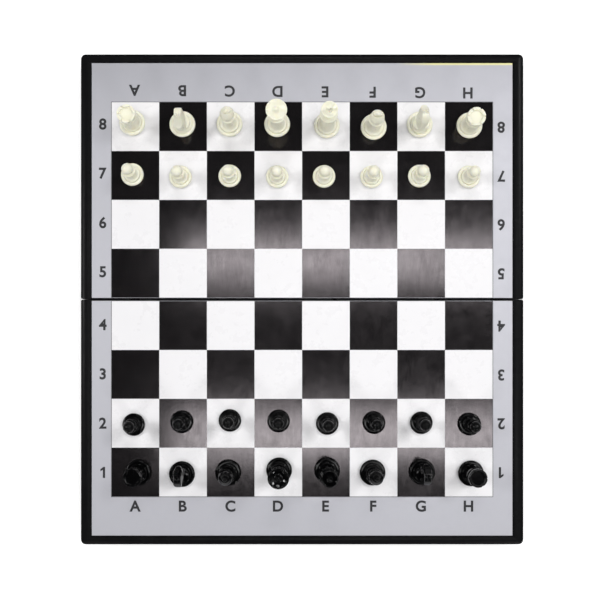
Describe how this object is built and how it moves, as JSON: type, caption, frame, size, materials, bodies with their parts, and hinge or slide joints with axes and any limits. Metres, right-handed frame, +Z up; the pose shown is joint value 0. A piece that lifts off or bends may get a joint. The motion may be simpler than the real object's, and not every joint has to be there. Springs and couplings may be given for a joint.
{
  "type": "folding magnetic chess set",
  "caption": "Folding magnetic chess set, opened flat: two hinged black half cases with a silver checkered face, and ivory and black chessmen set up for play.",
  "frame": {"origin": "on the table plane, in the middle of the fold", "axes": "+X along the ranks from file A to file H, +Y from rank 1 to rank 8, +Z up"},
  "size_m": [0.288, 0.319, 0.0654],
  "materials": {
    "case_plastic": "satin black moulded",
    "tinplate": "bare tinplate",
    "silver_film": "silver print under clear film",
    "dark_foil": "glossy black foil",
    "light_foil": "white foil",
    "ivory_plastic": "polished ivory moulding",
    "black_plastic": "polished black moulding",
    "hinge_steel": "plain steel",
    "magnet": "nickel plated",
    "felt": "dark green felt"
  },
  "bodies": {
    "near_half": {"near_case": "case_plastic", "near_steel_plate": "tinplate", "near_face_film": "silver_film", "near_dark_squares": "dark_foil", "near_light_squares": "light_foil", "near_hinge_pins": "hinge_steel", "near_closing_magnets": "magnet"},
    "hinge_links": {"left_hinge_link": "hinge_steel", "right_hinge_link": "hinge_steel"},
    "far_half": {"far_case": "case_plastic", "far_steel_plate": "tinplate", "far_face_film": "silver_film", "far_dark_squares": "dark_foil", "far_light_squares": "light_foil", "far_hinge_pins": "hinge_steel", "far_closing_magnets": "magnet"},
    "ivory_rook_a8": {"ivory_rook_a8": "ivory_plastic"},
    "ivory_knight_b8": {"ivory_knight_b8": "ivory_plastic"},
    "ivory_bishop_c8": {"ivory_bishop_c8": "ivory_plastic"},
    "ivory_queen_d8": {"ivory_queen_d8": "ivory_plastic"},
    "ivory_king_e8": {"ivory_king_e8": "ivory_plastic"},
    "ivory_bishop_f8": {"ivory_bishop_f8": "ivory_plastic"},
    "ivory_knight_g8": {"ivory_knight_g8": "ivory_plastic"},
    "ivory_rook_h8": {"ivory_rook_h8": "ivory_plastic"},
    "ivory_pawn_a7": {"ivory_pawn_a7": "ivory_plastic"},
    "ivory_pawn_b7": {"ivory_pawn_b7": "ivory_plastic"},
    "ivory_pawn_c7": {"ivory_pawn_c7": "ivory_plastic"},
    "ivory_pawn_d7": {"ivory_pawn_d7": "ivory_plastic"},
    "ivory_pawn_e7": {"ivory_pawn_e7": "ivory_plastic"},
    "ivory_pawn_f7": {"ivory_pawn_f7": "ivory_plastic"},
    "ivory_pawn_g7": {"ivory_pawn_g7": "ivory_plastic"},
    "ivory_pawn_h7": {"ivory_pawn_h7": "ivory_plastic"},
    "black_pawn_a2": {"black_pawn_a2": "black_plastic"},
    "black_pawn_b2": {"black_pawn_b2": "black_plastic"},
    "black_pawn_c2": {"black_pawn_c2": "black_plastic"},
    "black_pawn_d2": {"black_pawn_d2": "black_plastic"},
    "black_pawn_e2": {"black_pawn_e2": "black_plastic"},
    "black_pawn_f2": {"black_pawn_f2": "black_plastic"},
    "black_pawn_g2": {"black_pawn_g2": "black_plastic"},
    "black_pawn_h2": {"black_pawn_h2": "black_plastic"},
    "black_rook_a1": {"black_rook_a1": "black_plastic"},
    "black_knight_b1": {"black_knight_b1": "black_plastic"},
    "black_bishop_c1": {"black_bishop_c1": "black_plastic"},
    "black_queen_d1": {"black_queen_d1": "black_plastic"},
    "black_king_e1": {"black_king_e1": "black_plastic"},
    "black_bishop_f1": {"black_bishop_f1": "black_plastic"},
    "black_knight_g1": {"black_knight_g1": "black_plastic"},
    "black_rook_h1": {"black_rook_h1": "black_plastic"}
  },
  "joints": [
    {"name": "near_fold", "type": "hinge", "parent": "near_half", "child": "hinge_links", "pos_m": [0, -0.00325, 0.003], "axis": [-1, 0, 0], "range_deg": [0, 90]},
    {"name": "far_fold", "type": "hinge", "parent": "hinge_links", "child": "far_half", "pos_m": [0, 0.00325, 0.003], "axis": [-1, 0, 0], "range_deg": [0, 90]},
    {"name": "ivory_rook_a8_lift", "type": "slide", "parent": "far_half", "child": "ivory_rook_a8", "axis": [0, 0, 1], "range_m": [0, 0.06]},
    {"name": "ivory_knight_b8_lift", "type": "slide", "parent": "far_half", "child": "ivory_knight_b8", "axis": [0, 0, 1], "range_m": [0, 0.06]},
    {"name": "ivory_bishop_c8_lift", "type": "slide", "parent": "far_half", "child": "ivory_bishop_c8", "axis": [0, 0, 1], "range_m": [0, 0.06]},
    {"name": "ivory_queen_d8_lift", "type": "slide", "parent": "far_half", "child": "ivory_queen_d8", "axis": [0, 0, 1], "range_m": [0, 0.06]},
    {"name": "ivory_king_e8_lift", "type": "slide", "parent": "far_half", "child": "ivory_king_e8", "axis": [0, 0, 1], "range_m": [0, 0.06]},
    {"name": "ivory_bishop_f8_lift", "type": "slide", "parent": "far_half", "child": "ivory_bishop_f8", "axis": [0, 0, 1], "range_m": [0, 0.06]},
    {"name": "ivory_knight_g8_lift", "type": "slide", "parent": "far_half", "child": "ivory_knight_g8", "axis": [0, 0, 1], "range_m": [0, 0.06]},
    {"name": "ivory_rook_h8_lift", "type": "slide", "parent": "far_half", "child": "ivory_rook_h8", "axis": [0, 0, 1], "range_m": [0, 0.06]},
    {"name": "ivory_pawn_a7_lift", "type": "slide", "parent": "far_half", "child": "ivory_pawn_a7", "axis": [0, 0, 1], "range_m": [0, 0.06]},
    {"name": "ivory_pawn_b7_lift", "type": "slide", "parent": "far_half", "child": "ivory_pawn_b7", "axis": [0, 0, 1], "range_m": [0, 0.06]},
    {"name": "ivory_pawn_c7_lift", "type": "slide", "parent": "far_half", "child": "ivory_pawn_c7", "axis": [0, 0, 1], "range_m": [0, 0.06]},
    {"name": "ivory_pawn_d7_lift", "type": "slide", "parent": "far_half", "child": "ivory_pawn_d7", "axis": [0, 0, 1], "range_m": [0, 0.06]},
    {"name": "ivory_pawn_e7_lift", "type": "slide", "parent": "far_half", "child": "ivory_pawn_e7", "axis": [0, 0, 1], "range_m": [0, 0.06]},
    {"name": "ivory_pawn_f7_lift", "type": "slide", "parent": "far_half", "child": "ivory_pawn_f7", "axis": [0, 0, 1], "range_m": [0, 0.06]},
    {"name": "ivory_pawn_g7_lift", "type": "slide", "parent": "far_half", "child": "ivory_pawn_g7", "axis": [0, 0, 1], "range_m": [0, 0.06]},
    {"name": "ivory_pawn_h7_lift", "type": "slide", "parent": "far_half", "child": "ivory_pawn_h7", "axis": [0, 0, 1], "range_m": [0, 0.06]},
    {"name": "black_pawn_a2_lift", "type": "slide", "parent": "near_half", "child": "black_pawn_a2", "axis": [0, 0, 1], "range_m": [0, 0.06]},
    {"name": "black_pawn_b2_lift", "type": "slide", "parent": "near_half", "child": "black_pawn_b2", "axis": [0, 0, 1], "range_m": [0, 0.06]},
    {"name": "black_pawn_c2_lift", "type": "slide", "parent": "near_half", "child": "black_pawn_c2", "axis": [0, 0, 1], "range_m": [0, 0.06]},
    {"name": "black_pawn_d2_lift", "type": "slide", "parent": "near_half", "child": "black_pawn_d2", "axis": [0, 0, 1], "range_m": [0, 0.06]},
    {"name": "black_pawn_e2_lift", "type": "slide", "parent": "near_half", "child": "black_pawn_e2", "axis": [0, 0, 1], "range_m": [0, 0.06]},
    {"name": "black_pawn_f2_lift", "type": "slide", "parent": "near_half", "child": "black_pawn_f2", "axis": [0, 0, 1], "range_m": [0, 0.06]},
    {"name": "black_pawn_g2_lift", "type": "slide", "parent": "near_half", "child": "black_pawn_g2", "axis": [0, 0, 1], "range_m": [0, 0.06]},
    {"name": "black_pawn_h2_lift", "type": "slide", "parent": "near_half", "child": "black_pawn_h2", "axis": [0, 0, 1], "range_m": [0, 0.06]},
    {"name": "black_rook_a1_lift", "type": "slide", "parent": "near_half", "child": "black_rook_a1", "axis": [0, 0, 1], "range_m": [0, 0.06]},
    {"name": "black_knight_b1_lift", "type": "slide", "parent": "near_half", "child": "black_knight_b1", "axis": [0, 0, 1], "range_m": [0, 0.06]},
    {"name": "black_bishop_c1_lift", "type": "slide", "parent": "near_half", "child": "black_bishop_c1", "axis": [0, 0, 1], "range_m": [0, 0.06]},
    {"name": "black_queen_d1_lift", "type": "slide", "parent": "near_half", "child": "black_queen_d1", "axis": [0, 0, 1], "range_m": [0, 0.06]},
    {"name": "black_king_e1_lift", "type": "slide", "parent": "near_half", "child": "black_king_e1", "axis": [0, 0, 1], "range_m": [0, 0.06]},
    {"name": "black_bishop_f1_lift", "type": "slide", "parent": "near_half", "child": "black_bishop_f1", "axis": [0, 0, 1], "range_m": [0, 0.06]},
    {"name": "black_knight_g1_lift", "type": "slide", "parent": "near_half", "child": "black_knight_g1", "axis": [0, 0, 1], "range_m": [0, 0.06]},
    {"name": "black_rook_h1_lift", "type": "slide", "parent": "near_half", "child": "black_rook_h1", "axis": [0, 0, 1], "range_m": [0, 0.06]}
  ],
  "couplings": [
    {"joint": "near_fold", "follows": "far_fold", "ratio": 1}
  ]
}
